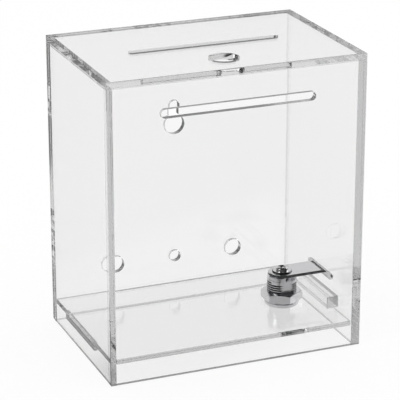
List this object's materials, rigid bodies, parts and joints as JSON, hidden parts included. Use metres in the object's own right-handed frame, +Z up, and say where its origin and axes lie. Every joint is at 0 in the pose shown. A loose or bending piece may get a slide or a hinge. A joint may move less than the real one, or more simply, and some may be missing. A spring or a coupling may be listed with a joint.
{
  "type": "ballot box",
  "caption": "Clear acrylic ballot box with slots in lid and front wall, hanging holes in the back and a bottom plate held by a cam lock.",
  "frame": {"origin": "middle of the base, in the plane that the box stands on", "axes": "+X to the right seen from the front, +Y from the front wall to the back wall, +Z up"},
  "size_m": [0.149, 0.1, 0.171],
  "materials": {
    "clear_acrylic": "clear cast acrylic sheet with polished edges",
    "chromed_zinc": "bright chrome on die-cast zinc",
    "chromed_steel": "bright plated steel",
    "brass": "punched brass",
    "spring_steel": "drawn wire"
  },
  "bodies": {
    "box": {"top_panel": "clear_acrylic", "front_panel": "clear_acrylic", "back_panel": "clear_acrylic", "left_panel": "clear_acrylic", "right_panel": "clear_acrylic", "rear_strip": "clear_acrylic", "left_ledge": "clear_acrylic", "right_rail": "clear_acrylic", "door_plate": "clear_acrylic", "lock_housing": "chromed_zinc", "lock_nut": "chromed_steel"},
    "lock_core": {"lock_plug": "chromed_zinc", "wafer_1": "brass", "wafer_2": "brass", "wafer_3": "brass", "wafer_4": "brass", "wafer_5": "brass", "wafer_spring_1": "spring_steel", "wafer_spring_2": "spring_steel", "wafer_spring_3": "spring_steel", "wafer_spring_4": "spring_steel", "wafer_spring_5": "spring_steel", "stop_washer": "chromed_steel", "cam": "chromed_steel", "cam_washer": "chromed_steel", "cam_screw": "chromed_steel"}
  },
  "joints": [
    {"name": "lock_turn", "type": "hinge", "parent": "box", "child": "lock_core", "pos_m": [0.048, 0, 0.02], "axis": [0, 0, -1], "range_deg": [0, 90]}
  ]
}
